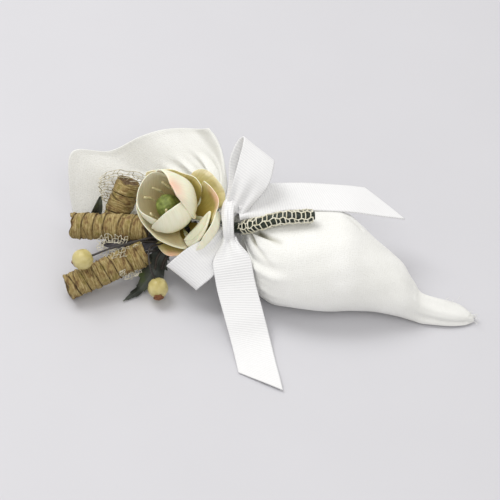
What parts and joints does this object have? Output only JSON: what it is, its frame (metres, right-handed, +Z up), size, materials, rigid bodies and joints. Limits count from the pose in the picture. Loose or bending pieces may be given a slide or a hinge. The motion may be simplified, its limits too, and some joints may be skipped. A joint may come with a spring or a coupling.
{
  "type": "wedding favour pouch",
  "caption": "Muslin wedding favour pouch lying on its side, tied with a ribbon bow that holds a floral pick of a cream flower, bark rolls, berries, leaves and net",
  "frame": {"origin": "middle of the bottom of the overall box, on the surface that the pouch lies on", "axes": "+X along the pouch from its tied mouth to its pointed tip, +Z up, the bow and the flower facing up and towards -Y"},
  "size_m": [0.1713, 0.1146, 0.0599],
  "materials": {
    "muslin": "loose plain-weave cotton muslin, ivory, matt",
    "grosgrain": "white grosgrain ribbon with fine cross ribs",
    "net": "stiff cream open net ribbon",
    "floral_tape": "dark green waxed floral tape wound over wires",
    "petal": "cream artificial petal with a faint blush at the edge",
    "pistil": "green matt pistil",
    "stamen": "cream thread stamens",
    "calyx": "green matt moulding",
    "leaf": "dark green pressed artificial leaf, slightly glossy",
    "leaf_underside": "grey satin underside of an artificial leaf",
    "bark": "dry bark strips wrapped across the roll, brown seams",
    "stick_wood": "dark dry stick",
    "wire": "dark lacquered craft wire",
    "berry": "cream waxy berry",
    "berry_cap": "brown dried berry tip",
    "sugar_shell": "smooth white sugar shell"
  },
  "bodies": {
    "root": {"bark_stick_lower": "stick_wood", "bark_stick_middle": "stick_wood", "bark_stick_upper": "stick_wood", "bark_wire_lower": "wire", "bark_wire_middle": "wire", "bark_wire_upper": "wire", "bark_wrap_lower": "bark", "bark_wrap_middle": "bark", "bark_wrap_upper": "bark", "berry_cap_front": "berry_cap", "berry_cap_left": "berry_cap", "berry_front": "berry", "berry_left": "berry", "berry_wire_front": "wire", "berry_wire_left": "wire", "bow_knot": "grosgrain", "bow_loop_lower": "grosgrain", "bow_loop_upper": "grosgrain", "flower_calyx": "calyx", "flower_pistil": "pistil", "flower_stamens": "stamen", "leaf_grey": "leaf_underside", "leaf_large": "leaf", "leaf_small": "leaf", "net_loop_lower": "net", "net_loop_upper": "net", "net_sleeve": "net", "petal_inner_1": "petal", "petal_inner_2": "petal", "petal_inner_3": "petal", "petal_outer_1": "petal", "petal_outer_2": "petal", "petal_outer_3": "petal", "petal_outer_4": "petal", "petal_outer_5": "petal", "petal_outer_6": "petal", "pouch_bag": "muslin", "pouch_mouth": "muslin", "ribbon_band": "grosgrain", "ribbon_tail_front": "grosgrain", "ribbon_tail_side": "grosgrain", "stem_bundle": "floral_tape", "sugared_almond_1": "sugar_shell", "sugared_almond_2": "sugar_shell", "sugared_almond_3": "sugar_shell", "sugared_almond_4": "sugar_shell", "sugared_almond_5": "sugar_shell"}
  },
  "joints": []
}
